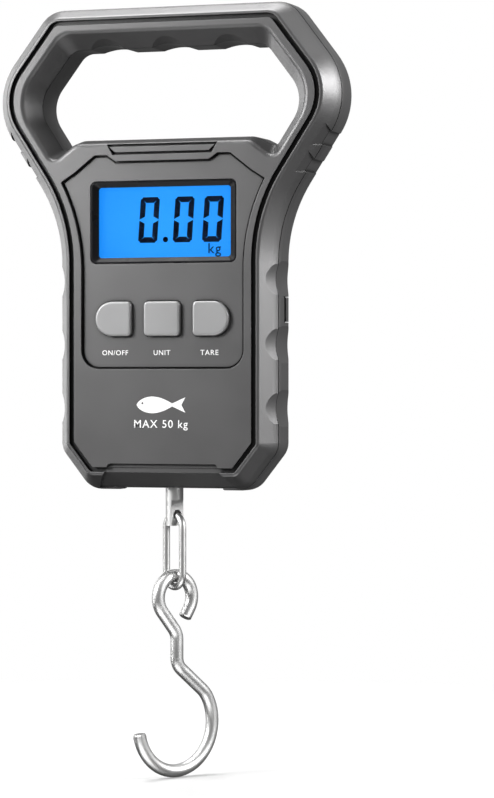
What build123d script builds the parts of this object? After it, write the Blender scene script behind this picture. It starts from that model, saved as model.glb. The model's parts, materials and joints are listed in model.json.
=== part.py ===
from build123d import *
import os
from math import cos, radians, sin

# Digital hanging fish scale with a loop handle, built the way it comes apart on a bench.
# Millimetres. +X to the user's right, -Y towards the user, +Z up. The origin is the grip point:
# the middle of the handle bar's underside, on the vertical line that the load hangs from.

# ---- Depths (Y) of the housing
FACE_Y = -10.6
PANEL_Y = -9.6
SHOULDER_Y = -4.5
BACK_Y = 8.5
BACK_ROUND = 6.0
RIM_ROUND = 0.8
OPENING_ROUND = 1.5
SHOULDER_ROUND = 8.0
INNER_SLOPE = 2.4
HUMP_Y = 13.0
HUMP_HALF = (27.6, 23.4)
HUMP_Z = (-95.6, -33.0)
HUMP_STEP_Z = (-69.5, -63.5)
HUMP_ROUND = 3.0
HUMP_ROOT_Y = 3.0
HUMP_DRAFT = 12.0
HUMP_WALL = 1.6
WALL = 2.0
INNER_FACE_Y = FACE_Y + WALL
INNER_BACK_Y = BACK_Y - WALL
PARTING_GAP = 0.3
LIP_INSET = 1.5
LIP_HEIGHT = 1.2
LIP_ROOM = 0.15

# ---- Housing outline. Each side is a line: the angle of its outward normal and its distance
# from the origin. A minus radius marks a hollow corner.
OUTER_SIDES = ((90, 12.0), (37.25, 37.1), (-33, 55.66), (0, 33.87), (-38.2, 98.76), (-90, 128.3))
OUTER_RADII = (9.0, 19.7, -42.0, 6.4, 6.4)
RIM_INSETS = (3.1, 4.4, 4.4, 4.4, 4.4, 4.4)
BOTTOM_Z = -127.7
LOBE_X = 16.5

# ---- Finger opening, at the shoulder and at the front face
HOLE_SIDES = ((90, 0.0), (37.25, 23.74), (-33, 43.73), (-117.9, 10.9), (-90, 26.5))
HOLE_RADII = (5.0, 9.9, 1.6, 5.0)
HOLE_FACE_SIDES = ((90, 4.6), (37.25, 27.9), (-33, 46.9), (-129.8, 4.0), (-90, 27.85))
HOLE_FACE_RADII = (6.0, 13.0, 2.4, 5.0)
HOLE_FLARE = 2.0
HOLE_FLARE_DEPTH = 2.5

# ---- Grip scallops and notches
SCALLOP_RADIUS = 12.3
SCALLOP_DEPTH = 1.2
SCALLOP_FLARE = 23.5
SCALLOP_WALL = 1.5
SIDE_SCALLOPS_Z = (-67.6, -86.2, -104.6)
FINGER_SCALLOPS_X = (-19.0, 0.0, 19.0)
NOTCHES = ((4.6, -28.3), (4.3, -36.0))
NOTCH_DEPTH = 0.9
NOTCH_BLOCK = 4.0

# ---- Face details
GROOVE = (0.8, 2.2)
GROOVE_DEPTH = 1.3
PANEL_TOP = ((0, -33.1), (14.4, -33.1), (17.0, -31.3), (20.9, -31.3), (27.2, -36.2), (31.4, -38.9))
PANEL_FLANK = ((31.4, -38.9), (27.0, -50.0), (25.0, -66.0))
PANEL_BOTTOM_Z = -93.3
PANEL_ROUND = 5.5
PANEL_GROOVE = (0.6, 0.6)
TOP_BAR = ((17.0, -28.2), (15.2, -31.3))
BAR_GROOVE = 0.75
APRON = ((17.3, -120.6), (17.0, -122.3), (23.4, -130.0))
APRON_ROUND = 1.2
APRON_DEPTH = 1.0
APRON_SLOT = (32.6, 0.8)
APRON_SLOT_Z = -122.2

# ---- Display
DISPLAY_Z = -50.8
WINDOW = (45.0, 24.0)
WINDOW_ROUND = 1.8
BEZEL_FIT = 0.1
BEZEL_FLANGE = 3.6
BEZEL_LIP = 0.9
VIEW = (40.8, 20.4)
LCD = (46.0, 25.6)
LCD_Y = (-7.0, -5.0)
LENS_Y = (-7.9, -7.15)
LIGHT_Y = (-4.9, -3.3)
BOARD_Y = (-2.2, -1.0)
BOARD = (48.0, 57.0)
BOARD_Z = -64.0
DIGITS_X = (-5.2, 5.5, 14.5)
DIGITS_Z = -50.1
DIGIT = (5.9, 13.2)
DIGIT_STROKE = 1.65
DIGIT_CORNER = 0.5
SEGMENT_GAP = 0.16
DIGIT_LEAN = 0.07
POINT = (-0.1, -55.8)
POINT_RADIUS = 0.8
SEGMENT_THICKNESS = 0.08

# ---- Buttons
BUTTON_Z = -78.75
BUTTON = (11.0, 10.0)
BUTTON_X = 15.0
BUTTON_FACE_Y = -11.0
BUTTON_BACK_Y = -5.2
BUTTON_GAP = 0.25
SWITCH_TOP_Y = -4.4
SWITCH = (5.2, 5.2, 0.4)
SWITCH_HEIGHT = 1.5
FLANGE = 0.9
FLANGE_THICKNESS = 0.7
STEM_RADIUS = 1.8

# ---- Load path
ROD = 5.2
TANG = 2.6
SHOULDER_Z = -131.4
EYE_Z = -135.7
EYE = 3.1
STUD_TOP_Z = -111.5
STUD_END_Z = -138.8
LINK_WIRE = 2.1
LINK_HALF_WIDTH = 3.7
LINK_BOTTOM_Z = -156.65
HOOK_WIRE = 3.8
HOOK_AZIMUTH = 60.0
BOWL_CENTRE = (0.5, -196.5)
BOWL_RADIUS = 13.8
BOWL_SWEEP = (189, 201)
THROAT_BEND = (9.0, 21)
RISE = 10.0
LOWER_BEND = (4.5, -51)
SHANK = 5.2
UPPER_BEND = (5.0, 40)
NECK = 6.72
EYE_BEND = (6.3, -252)
TAIL = 3.2
END_CHAMFER = 0.3
CELL_TOP_Z = -99.5
CELL_BOTTOM_Z = -125.0
CELL = (26.0, 10.6)
ARM_TOP_Z = -119.0
BUSH_RADIUS = 3.6
BUSH_FIT = 0.06
WASHER = (5.2, 0.8)
NUT_Z = (ARM_TOP_Z + 0.85, ARM_TOP_Z + 4.6)
NUT_APOTHEM = 4.4
CELL_SCREWS_X = (-6.0, 6.0)
CELL_SCREW_RADIUS = 2.0
CELL_SCREW_HEAD = (3.3, 2.4)
FLEXURE_X = 9.5
FLEXURE_Z = -104.5
SLOT = 0.8
GAUGE = (0.2, 4.0, 3.0)
LEAD_RADIUS = 0.9
LEAD_ROUTE = (
    (-14.6, -0.5, -106.0), (-14.6, -6.9, -106.0), (-14.6, -6.9, -89.0), (-14.6, BOARD_Y[0], -89.0)
)
POCKET_TOP_Z = -109.5
PLATE_Z = (-99.5, -97.0)
LEDGE = (7.0, 5.0)
LEDGE_X = 20.5
LEDGE_Y = -3.0

# ---- Batteries (AAA)
AAA_RADIUS = 5.25
AAA_BODY = 43.7
AAA_NUB = 0.8
AAA_Y = 6.15
AAA_Z = (-43.4, -54.6)
BAY = (50.8, 22.4)
BAY_Z = -49.0
BAY_FLOOR_Y = 0.8
BAY_WALL = 1.2
SPRING_ROOM = 5.2
SPRING_WIRE = 0.8
SPRING_PITCH = 1.15
SPRING_RADIUS = 3.0
SPRING_STEP = 0.15
SPRING_TIE = (4.0, 0.5, 0.5)
CONTACT = (9.6, 9.6, 1.0)
CONTACT_THICKNESS = 0.4
DOOR_Y = 11.5
DOOR_HALF = 24.4
DOOR_LOW_Z = -61.0
DOOR_EXIT_Z = -28.0
TONGUE_TOP_Z = -36.5
THUMB_RIBS_Z = -44.0
THUMB_RIB_PITCH = 1.8
TONGUE = 1.2
RUN_GAP = 0.25
DOOR_PLATE_Y = DOOR_Y + 0.05
TONGUE_THICKNESS = 0.6
DOOR_ROOM_Z = DOOR_LOW_Z - RUN_GAP
DOOR_RUNS = (
    (DOOR_HALF + RUN_GAP, DOOR_Y, 20),
    (DOOR_HALF + TONGUE + RUN_GAP, DOOR_Y - 0.1, 0.95),
)
THUMB_RIB = (16.0, 0.8, 0.35)

# ---- Tape
TAPE_X = 15.0
TAPE_Z = -84.2
TAPE_COIL = 8.2
TAPE_HUB = 4.2
TAPE_Y = (1.7, 6.1)
TAPE_CASE = 10.4
CASE_WALL = 0.8
CASE_ROOM = 0.5
ARBOR_RADIUS = 1.5
BLADE = 0.3
TAB_Z = (-79.6, -72.6)
TAB_Y = (1.4, 7.0)
TAB_MIDDLE_Z = sum(TAB_Z) / 2
TAB_HEIGHT = TAB_Z[1] - TAB_Z[0]
TAB_INNER_X = 30.4
TAB_BACKING = 1.6
TAB_BACKING_LEAD = 0.3
NAIL_GAP = 1.8
TAPE_SLOT = 1.6

# ---- Fasteners
HOUSING_SCREWS = ((46.2, -15.0), (31.0, 6.2), (27.8, -66.0), (22.5, -116.0))
BOARD_SCREWS = ((21.5, -68.5), (21.5, -89.5))
SCREW_RADIUS = 1.3
BOARD_SCREW_RADIUS = 0.8
HEAD_RADIUS = 2.5
BOSS_RADIUS = 3.4
HEAD_SEAT_Y = 3.0
HEAD_HEIGHT = 1.6
CROSS_SLOT = (2.8, 0.6)
BOARD_HEAD = (1.7, 1.1)
BOARD_BOSS_RADIUS = 2.2
SCREW_ROOM = 0.2
STUD_ROOM = 0.5

HOOK_PLANE = Plane(
    origin=(0, 0, 0),
    x_dir=(cos(radians(HOOK_AZIMUTH)), sin(radians(HOOK_AZIMUTH)), 0),
    z_dir=(sin(radians(HOOK_AZIMUTH)), -cos(radians(HOOK_AZIMUTH)), 0),
)
LINK_PLANE = Plane(
    origin=(0, 0, 0),
    x_dir=(sin(radians(HOOK_AZIMUTH)), -cos(radians(HOOK_AZIMUTH)), 0),
    z_dir=(-cos(radians(HOOK_AZIMUTH)), -sin(radians(HOOK_AZIMUTH)), 0),
)

os.makedirs("parts", exist_ok=True)


def save(piece, label):
    """Name a finished piece and write it."""
    piece.part.label = label
    export_step(piece.part, f"parts/{label}.step")


def front(y):
    """Vertical plane at depth y, with X across and Z up. Extruding forwards goes towards the user."""
    return Plane.XZ.offset(-y)


def both_sides(points):
    """The same points on the right and on the left."""
    return [(side * x, z) for x, z in points for side in (1, -1)]


def meeting_point(first, second):
    """Point where two sides of an outline meet."""
    (angle_1, reach_1), (angle_2, reach_2) = first, second
    cross = sin(radians(angle_2 - angle_1))
    x = (reach_1 * sin(radians(angle_2)) - reach_2 * sin(radians(angle_1))) / cross
    z = (reach_2 * cos(radians(angle_1)) - reach_1 * cos(radians(angle_2))) / cross
    return x, z


def outline_face(y, sides, radii, insets):
    """Mirrored outline on the plane at depth y, each side moved in by its own inset."""
    moved = [(angle, reach - inset) for (angle, reach), inset in zip(sides, insets)]
    right = [meeting_point(a, b) for a, b in zip(moved, moved[1:])]
    rounds = [max(r - inset, 0.5) if r > 0 else inset - r for r, inset in zip(radii, insets[1:])]
    left = [(-x, z) for x, z in reversed(right)]
    with BuildSketch(front(y)) as face:
        with BuildLine():
            FilletPolyline(*right, *left, radius=rounds + rounds[::-1], close=True)
        make_face()
    return face.sketch


def body_face(y, inset, rim=False):
    """The housing's outline, moved in by one inset all round, from the shoulder or from the rim."""
    insets = [inset + extra if rim else inset for extra in RIM_INSETS]
    return outline_face(y, OUTER_SIDES, OUTER_RADII, insets)


def hole_face(y, outset, at_face=False):
    """The finger opening's outline, moved out by one outset all round."""
    sides, radii = (HOLE_FACE_SIDES, HOLE_FACE_RADII) if at_face else (HOLE_SIDES, HOLE_RADII)
    return outline_face(y, sides, radii, [-outset] * len(sides))


def loop_face(y, inset):
    """The housing's section with its finger opening, moved into the wall by one inset."""
    with BuildSketch(front(y)) as section:
        add(body_face(y, inset))
        add(hole_face(y, inset), mode=Mode.SUBTRACT)
    return section.sketch


def ring_face(y, outer_inset, inner_inset):
    """The strip of the housing's section between two insets, round the outside and the opening."""
    with BuildSketch(front(y)) as ring:
        add(loop_face(y, outer_inset))
        add(loop_face(y, inner_inset), mode=Mode.SUBTRACT)
    return ring.sketch


def casing(wall):
    """The housing's outside moved in by a wall's thickness, without opening, hump or scallops."""
    back_y = BACK_Y - wall
    slope = INNER_SLOPE if wall else 0
    with BuildPart() as volume:
        loft([body_face(FACE_Y + wall, wall, rim=True), body_face(SHOULDER_Y, wall)], ruled=True)
        extrude(body_face(SHOULDER_Y, wall), amount=SHOULDER_Y - back_y + slope)
        if wall:
            loft([body_face(back_y - slope, wall), body_face(back_y, wall + slope)], ruled=True)
        else:
            fillet(volume.faces().sort_by(Axis.Y)[-1].edges(), BACK_ROUND)
            fillet(volume.faces().sort_by(Axis.Y)[0].edges(), RIM_ROUND)
            shoulder = volume.edges().filter_by_position(Axis.Y, SHOULDER_Y - 0.01, SHOULDER_Y + 0.01)
            fillet(shoulder, SHOULDER_ROUND)
    return volume.part


def finger_opening(wall):
    """The space inside the loop handle, moved out by a wall's thickness."""
    straight_end = BACK_Y - HOLE_FLARE_DEPTH
    with BuildPart() as volume:
        loft([hole_face(FACE_Y, wall, at_face=True), hole_face(SHOULDER_Y, wall)], ruled=True)
        extrude(hole_face(FACE_Y, wall, at_face=True), amount=4)
        extrude(hole_face(SHOULDER_Y, wall), amount=SHOULDER_Y - straight_end)
        loft([hole_face(straight_end, wall), hole_face(BACK_Y, wall + HOLE_FLARE)], ruled=True)
        extrude(hole_face(BACK_Y, wall + HOLE_FLARE), amount=-8)
    return volume.part


def grip_cuts(extra):
    """Scallops under the bar and down both sides, and the two notches on each side of the loop."""
    side_x = OUTER_SIDES[3][1] - SCALLOP_DEPTH + SCALLOP_RADIUS
    places = both_sides([(side_x, z) for z in SIDE_SCALLOPS_Z])
    places += [(x, SCALLOP_DEPTH - SCALLOP_RADIUS) for x in FINGER_SCALLOPS_X]
    angle, reach = OUTER_SIDES[2]
    normal = (cos(radians(angle)), sin(radians(angle)))
    with BuildPart() as cuts:
        with BuildSketch(front(SHOULDER_Y)) as holes:
            with Locations(*places):
                Circle(SCALLOP_RADIUS + extra)
            for length, z in NOTCHES:
                off = reach - NOTCH_DEPTH + NOTCH_BLOCK / 2
                along = (z - off * normal[1]) / normal[0]
                x = off * normal[0] - along * normal[1]
                for side in (1, -1):
                    with Locations((side * x, z)):
                        Rectangle(NOTCH_BLOCK + 2 * extra, length + 2 * extra, rotation=side * angle)
        extrude(holes.sketch, amount=SHOULDER_Y - FACE_Y + 2, taper=-SCALLOP_FLARE)
        extrude(holes.sketch, amount=SHOULDER_Y - BACK_Y - 2)
    return cuts.part


def hump(inset):
    """Raised back over the battery bay and the tape."""
    wide, narrow = HUMP_HALF[0] - inset, HUMP_HALF[1] - inset
    right = [(wide, HUMP_Z[1] - inset), (wide, HUMP_STEP_Z[1])]
    right += [(narrow, HUMP_STEP_Z[0]), (narrow, HUMP_Z[0] + inset)]
    left = [(-x, z) for x, z in reversed(right)]
    with BuildPart() as volume:
        with BuildSketch(front(HUMP_Y - inset)):
            with BuildLine():
                FilletPolyline(*right, *left, radius=HUMP_ROUND - inset, close=True)
            make_face()
        extrude(amount=HUMP_Y - inset - HUMP_ROOT_Y, taper=-HUMP_DRAFT)
    return volume.part


def bar_face(inset, mode=Mode.ADD):
    """The bar over the display, moved in by an inset."""
    (top_x, top_z), (low_x, low_z) = TOP_BAR
    right = [(top_x - inset, top_z - inset), (low_x - inset, low_z + inset)]
    Polygon(*right, *[(-x, z) for x, z in reversed(right)], align=None, mode=mode)


def button_sketch(kind, grow):
    """Outline of one button cap: square in the middle, rounded to the outer side at the ends."""
    width, height = BUTTON[0] + 2 * grow, BUTTON[1] + 2 * grow
    with BuildSketch(mode=Mode.PRIVATE) as shape:
        RectangleRounded(width, height, 1.3 + grow)
        if kind:
            with Locations((kind * width / 4, 0)):
                Rectangle(width / 2, height, mode=Mode.SUBTRACT)
            with Locations((kind * (width - height) / 2, 0)):
                Circle(height / 2)
    return shape.sketch


# ---- Shared volumes of the housing
with BuildPart() as apron:
    with BuildSketch(front(SHOULDER_Y)):
        with BuildLine():
            FilletPolyline((0, APRON[0][1]), *APRON[:2], radius=APRON_ROUND)
            Polyline(*APRON[1:], (0, APRON[-1][1]))
            mirror(about=Plane.YZ)
        make_face()
    extrude(amount=SHOULDER_Y - FACE_Y + 1)
    add(casing(APRON_DEPTH), mode=Mode.SUBTRACT)

with BuildPart() as outside:
    add(casing(0))
    add(hump(0))
    add(finger_opening(0), mode=Mode.SUBTRACT)
    fillet(outside.faces().sort_by(Axis.Y)[0].inner_wires()[0].edges(), OPENING_ROUND)
    add(grip_cuts(0), mode=Mode.SUBTRACT)
    add(apron.part, mode=Mode.SUBTRACT)
    with BuildSketch(front(BACK_Y + 1)):
        with Locations((0, BOTTOM_Z - 2)):
            Rectangle(2 * LOBE_X, 4)
    extrude(amount=BACK_Y - FACE_Y + 2, mode=Mode.SUBTRACT)

with BuildPart() as cavity:
    add(casing(WALL))
    add(hump(HUMP_WALL))
    add(finger_opening(WALL), mode=Mode.SUBTRACT)
    add(grip_cuts(SCALLOP_WALL), mode=Mode.SUBTRACT)


# ---- Bosses and ribs, trimmed to the housing
with BuildPart() as front_bosses:
    with BuildSketch(front(SHOULDER_Y)):
        with Locations(*both_sides(HOUSING_SCREWS)):
            Circle(BOSS_RADIUS)
    extrude(amount=SHOULDER_Y - INNER_FACE_Y + 0.5)
    add(outside.part, mode=Mode.INTERSECT)

with BuildPart() as rear_ribs:
    with BuildSketch(front(SHOULDER_Y + PARTING_GAP)):
        with Locations(*both_sides(HOUSING_SCREWS)):
            Circle(BOSS_RADIUS)
    extrude(amount=-12)
    with BuildSketch(front(BAY_FLOOR_Y - BAY_WALL)):
        with Locations((0, BAY_Z)):
            Rectangle(BAY[0] + 2 * BAY_WALL, BAY[1] + 2 * BAY_WALL)
    extrude(amount=-(DOOR_Y - BAY_FLOOR_Y + BAY_WALL))
    with BuildSketch(front(LEDGE_Y)):
        with Locations(*both_sides([(LEDGE_X, PLATE_Z[0] - LEDGE[1] / 2)])):
            Rectangle(*LEDGE)
    extrude(amount=-12)
    with BuildSketch(front(TAB_Y[0] - TAB_BACKING_LEAD)):
        with Locations((TAB_INNER_X - TAB_BACKING / 2, TAB_MIDDLE_Z)):
            Rectangle(TAB_BACKING, TAB_HEIGHT + 4)
    extrude(amount=-12)
    add(outside.part, mode=Mode.INTERSECT)

# ---- Front shell: face plate, bevelled band, groove, panel, openings and bosses
with BuildSketch(front(PANEL_Y)) as panel:
    with BuildLine():
        Polyline(PANEL_TOP)
        ThreePointArc(*PANEL_FLANK)
        low_corner = (PANEL_FLANK[-1][0], PANEL_BOTTOM_Z)
        FilletPolyline(PANEL_FLANK[-1], low_corner, (0, PANEL_BOTTOM_Z), radius=PANEL_ROUND)
        mirror(about=Plane.YZ)
    make_face()

with BuildSketch(front(PANEL_Y)) as panel_edge:
    add(panel.sketch)
    offset(panel.sketch, amount=-PANEL_GROOVE[0], kind=Kind.INTERSECTION, mode=Mode.SUBTRACT)

with BuildPart() as front_shell:
    add(outside.part)
    add(cavity.part, mode=Mode.SUBTRACT)
    split(bisect_by=front(SHOULDER_Y), keep=Keep.TOP)
    extrude(ring_face(SHOULDER_Y, LIP_INSET, WALL), amount=-LIP_HEIGHT)
    with BuildSketch(front(FACE_Y)):
        add(body_face(FACE_Y, GROOVE[0], rim=True))
        add(body_face(FACE_Y, GROOVE[1], rim=True), mode=Mode.SUBTRACT)
    extrude(amount=-GROOVE_DEPTH, mode=Mode.SUBTRACT)
    extrude(panel.sketch, amount=2, mode=Mode.SUBTRACT)
    extrude(panel_edge.sketch, amount=-PANEL_GROOVE[1], mode=Mode.SUBTRACT)
    with BuildSketch(front(FACE_Y)):
        bar_face(0)
        bar_face(BAR_GROOVE, Mode.SUBTRACT)
        with Locations((0, APRON_SLOT_Z)):
            Rectangle(*APRON_SLOT)
    extrude(amount=-GROOVE_DEPTH, mode=Mode.SUBTRACT)
    with BuildSketch(front(INNER_FACE_Y)):
        with Locations((0, DISPLAY_Z)):
            RectangleRounded(*WINDOW, WINDOW_ROUND)
        for kind in (-1, 0, 1):
            with Locations((kind * BUTTON_X, BUTTON_Z)):
                add(button_sketch(kind, BUTTON_GAP))
    extrude(amount=4, mode=Mode.SUBTRACT)
    add(front_bosses.part)
    with BuildSketch(front(BOARD_Y[0])):
        with Locations(*both_sides(BOARD_SCREWS)):
            Circle(BOARD_BOSS_RADIUS)
    extrude(amount=BOARD_Y[0] - INNER_FACE_Y + 0.5)
    with BuildSketch(front(SHOULDER_Y)):
        with Locations(*both_sides(HOUSING_SCREWS)):
            Circle(SCREW_RADIUS)
    extrude(amount=SHOULDER_Y - INNER_FACE_Y - 0.6, mode=Mode.SUBTRACT)
    with BuildSketch(front(BOARD_Y[0])):
        with Locations(*both_sides(BOARD_SCREWS)):
            Circle(BOARD_SCREW_RADIUS)
    extrude(amount=5, mode=Mode.SUBTRACT)
save(front_shell, "front_shell")

# ---- Rear shell: side walls, hump with battery bay, tape pocket, ribs, screw wells
with BuildPart() as rear_shell:
    add(outside.part)
    add(cavity.part, mode=Mode.SUBTRACT)
    split(bisect_by=front(SHOULDER_Y + PARTING_GAP), keep=Keep.BOTTOM)
    lip_room = ring_face(SHOULDER_Y, LIP_INSET - LIP_ROOM, WALL + LIP_ROOM)
    extrude(lip_room, amount=-LIP_HEIGHT - LIP_ROOM, mode=Mode.SUBTRACT)
    add(rear_ribs.part)
    with BuildSketch(front(BAY_FLOOR_Y)):
        with Locations((0, BAY_Z)):
            Rectangle(*BAY)
    extrude(amount=-20, mode=Mode.SUBTRACT)
    for half, start_y, depth in DOOR_RUNS:
        with BuildSketch(front(start_y)):
            with Locations((0, (DOOR_ROOM_Z + DOOR_EXIT_Z) / 2)):
                Rectangle(2 * half, DOOR_EXIT_Z - DOOR_ROOM_Z)
        extrude(amount=-depth, mode=Mode.SUBTRACT)
    with BuildSketch(front(SHOULDER_Y)):
        with Locations(*both_sides(HOUSING_SCREWS)):
            Circle(SCREW_RADIUS + SCREW_ROOM)
    extrude(amount=-20, mode=Mode.SUBTRACT)
    with BuildSketch(front(HEAD_SEAT_Y)):
        with Locations(*both_sides(HOUSING_SCREWS)):
            Circle(HEAD_RADIUS + SCREW_ROOM)
    extrude(amount=-20, mode=Mode.SUBTRACT)
    with BuildSketch(front(TAB_Y[0] - NAIL_GAP)):
        with Locations((TAB_INNER_X + 4, TAB_MIDDLE_Z)):
            Rectangle(8, TAB_HEIGHT + 2 * RUN_GAP)
    extrude(amount=-(TAB_Y[1] - TAB_Y[0] + NAIL_GAP + RUN_GAP), mode=Mode.SUBTRACT)
    with BuildSketch(front(TAPE_Y[0] - 0.3)):
        with Locations((TAB_INNER_X, TAPE_Z + TAPE_COIL)):
            Rectangle(8, TAPE_SLOT)
    extrude(amount=TAPE_Y[0] - TAPE_Y[1] - 0.6, mode=Mode.SUBTRACT)
    with BuildSketch(Plane.XY.offset(BOTTOM_Z - 1)):
        Circle(ROD / 2 + STUD_ROOM)
    extrude(amount=5, mode=Mode.SUBTRACT)
save(rear_shell, "rear_shell")

# ---- Display
with BuildPart() as display_bezel:
    with BuildSketch(front(INNER_FACE_Y + BEZEL_FIT)):
        with Locations((0, DISPLAY_Z)):
            RectangleRounded(WINDOW[0] + BEZEL_FLANGE, WINDOW[1] + BEZEL_FLANGE, WINDOW_ROUND)
    extrude(amount=-0.6)
    with BuildSketch(front(LENS_Y[0])):
        with Locations((0, DISPLAY_Z)):
            RectangleRounded(WINDOW[0] - 3 * BEZEL_FIT, WINDOW[1] - 3 * BEZEL_FIT, WINDOW_ROUND - BEZEL_FIT)
    extrude(amount=LENS_Y[0] - PANEL_Y - BEZEL_FIT)
    with BuildSketch(front(PANEL_Y)) as mouth:
        with Locations((0, DISPLAY_Z)):
            RectangleRounded(WINDOW[0] - BEZEL_LIP, WINDOW[1] - BEZEL_LIP, WINDOW_ROUND - BEZEL_LIP / 2)
    with BuildSketch(front(INNER_FACE_Y)) as throat:
        with Locations((0, DISPLAY_Z)):
            RectangleRounded(*VIEW, WINDOW_ROUND / 2)
    loft([mouth.sketch, throat.sketch], ruled=True, mode=Mode.SUBTRACT)
    extrude(throat.sketch, amount=-2, mode=Mode.SUBTRACT)
save(display_bezel, "display_bezel")

with BuildPart() as display_window:
    with BuildSketch(front(LENS_Y[0])):
        with Locations((0, DISPLAY_Z)):
            RectangleRounded(WINDOW[0] + 2.6, WINDOW[1] + 2.6, 1.5)
    extrude(amount=LENS_Y[0] - LENS_Y[1])
save(display_window, "display_window")

with BuildPart() as lcd_panel:
    with BuildSketch(front(LCD_Y[0])):
        with Locations((0, DISPLAY_Z)):
            Rectangle(*LCD)
    extrude(amount=LCD_Y[0] - LCD_Y[1])
save(lcd_panel, "lcd_panel")


def digit_bar(side_x, side_z, upright):
    """One bar of a nought: mitred at the corner, bevelled at half height, leaned to the right."""
    half_x, half_z = DIGIT[0] / 2, DIGIT[1] / 2
    near, far, bevel = SEGMENT_GAP, SEGMENT_GAP + DIGIT_STROKE, DIGIT_CORNER
    if upright:
        outer = [(half_x, near), (half_x, half_z - near - bevel), (half_x - bevel, half_z - near - bevel / 2)]
        inner = [(half_x - DIGIT_STROKE, half_z - far), (half_x - DIGIT_STROKE, near + DIGIT_STROKE / 2)]
        points = outer + inner
    else:
        outer = [(half_x - near - bevel, half_z), (half_x - near - bevel / 2, half_z - bevel)]
        right = outer + [(half_x - far, half_z - DIGIT_STROKE)]
        points = right + [(-x, z) for x, z in reversed(right)]
    return [(side_x * x + DIGIT_LEAN * side_z * z, side_z * z) for x, z in points]


with BuildPart() as lcd_digits:
    with BuildSketch(front(LCD_Y[0])):
        bars = [digit_bar(1, side_z, False) for side_z in (-1, 1)]
        bars += [digit_bar(side_x, side_z, True) for side_x in (-1, 1) for side_z in (-1, 1)]
        for bar in bars:
            with Locations(*[(digit_x, DIGITS_Z) for digit_x in DIGITS_X]):
                Polygon(*bar, align=None)
        with Locations(POINT):
            Circle(POINT_RADIUS)
    extrude(amount=SEGMENT_THICKNESS)
save(lcd_digits, "lcd_digits")

with BuildPart() as backlight_panel:
    with BuildSketch(front(LIGHT_Y[0])):
        with Locations((0, DISPLAY_Z)):
            RectangleRounded(LCD[0] - 3, LCD[1] - 5, 0.5)
    extrude(amount=LIGHT_Y[0] - LIGHT_Y[1])
save(backlight_panel, "backlight_panel")

with BuildPart() as backlight_leds:
    with Locations(*[((LCD[0] - 1.1) / 2, sum(LIGHT_Y) / 2, DISPLAY_Z + side * 5) for side in (1, -1)]):
        Box(1.6, 1.4, 3.0)
save(backlight_leds, "backlight_leds")

with BuildPart() as zebra_strips:
    with BuildSketch(front(LCD_Y[1])):
        with Locations(*[(0, DISPLAY_Z + side * (LCD[1] / 2 - 1.1)) for side in (1, -1)]):
            Rectangle(LCD[0] - 3, 1.8)
    extrude(amount=LCD_Y[1] - BOARD_Y[0])
save(zebra_strips, "zebra_strips")

# ---- Electronics
with BuildPart() as main_board:
    with BuildSketch(front(BOARD_Y[0])):
        with Locations((0, BOARD_Z)):
            RectangleRounded(*BOARD, 1.5)
        with Locations(*both_sides(BOARD_SCREWS)):
            Circle(BOARD_SCREW_RADIUS + SCREW_ROOM, mode=Mode.SUBTRACT)
    extrude(amount=BOARD_Y[0] - BOARD_Y[1])
save(main_board, "main_board")

with BuildPart() as board_components:
    with BuildSketch(front(BOARD_Y[1])) as blob:
        with Locations((-12, -70)):
            Circle(5.0)
    extrude(blob.sketch, amount=-1.6)
    fillet(board_components.edges().filter_by(GeomType.CIRCLE).sort_by(Axis.Y)[-1], 1.4)
    with Locations((-2, BOARD_Y[1] + 0.8, -68), (-16, BOARD_Y[1] + 0.8, -84), (0, BOARD_Y[1] + 0.8, -86)):
        Box(4.0, 1.6, 5.0)
    with Locations((-8, BOARD_Y[1] + 1.2, -80), (-8, BOARD_Y[1] + 1.2, -88)):
        Cylinder(1.2, 6.0, rotation=(0, 90, 0))
save(board_components, "board_components")

with BuildPart() as tact_switches:
    with BuildSketch(front(BOARD_Y[0])) as switch_bodies:
        with Locations(*[(kind * BUTTON_X, BUTTON_Z) for kind in (-1, 0, 1)]):
            RectangleRounded(*SWITCH)
    extrude(switch_bodies.sketch, amount=SWITCH_HEIGHT)
    with BuildSketch(front(BOARD_Y[0] - SWITCH_HEIGHT)) as plungers:
        with Locations(*[(kind * BUTTON_X, BUTTON_Z) for kind in (-1, 0, 1)]):
            Circle(1.6)
    extrude(plungers.sketch, amount=BOARD_Y[0] - SWITCH_HEIGHT - SWITCH_TOP_Y)
save(tact_switches, "tact_switches")

with BuildPart() as board_screws:
    with BuildSketch(front(BOARD_Y[1])) as screw_heads:
        with Locations(*both_sides(BOARD_SCREWS)):
            Circle(BOARD_HEAD[0])
    extrude(screw_heads.sketch, amount=-BOARD_HEAD[1])
    with BuildSketch(front(BOARD_Y[1])) as screw_shafts:
        with Locations(*both_sides(BOARD_SCREWS)):
            Circle(BOARD_SCREW_RADIUS)
    extrude(screw_shafts.sketch, amount=5.5)
save(board_screws, "board_screws")

# ---- Button caps: rounded cap, flange behind the face plate, stem down to the switch
for kind, label in ((-1, "power_button"), (0, "unit_button"), (1, "tare_button")):
    with BuildPart() as button:
        with BuildSketch(front(INNER_FACE_Y + 0.1)) as cap:
            with Locations((kind * BUTTON_X, BUTTON_Z)):
                add(button_sketch(kind, 0))
        extrude(cap.sketch, amount=INNER_FACE_Y + 0.1 - BUTTON_FACE_Y)
        fillet(button.faces().sort_by(Axis.Y)[0].edges(), 0.6)
        with BuildSketch(front(INNER_FACE_Y + 0.1)) as flange:
            with Locations((kind * BUTTON_X, BUTTON_Z)):
                add(button_sketch(kind, FLANGE))
        extrude(flange.sketch, amount=-FLANGE_THICKNESS)
        with BuildSketch(front(INNER_FACE_Y + FLANGE_THICKNESS)) as stem:
            with Locations((kind * BUTTON_X, BUTTON_Z)):
                Circle(STEM_RADIUS)
        extrude(stem.sketch, amount=INNER_FACE_Y + FLANGE_THICKNESS - BUTTON_BACK_Y)
    save(button, label)

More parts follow.
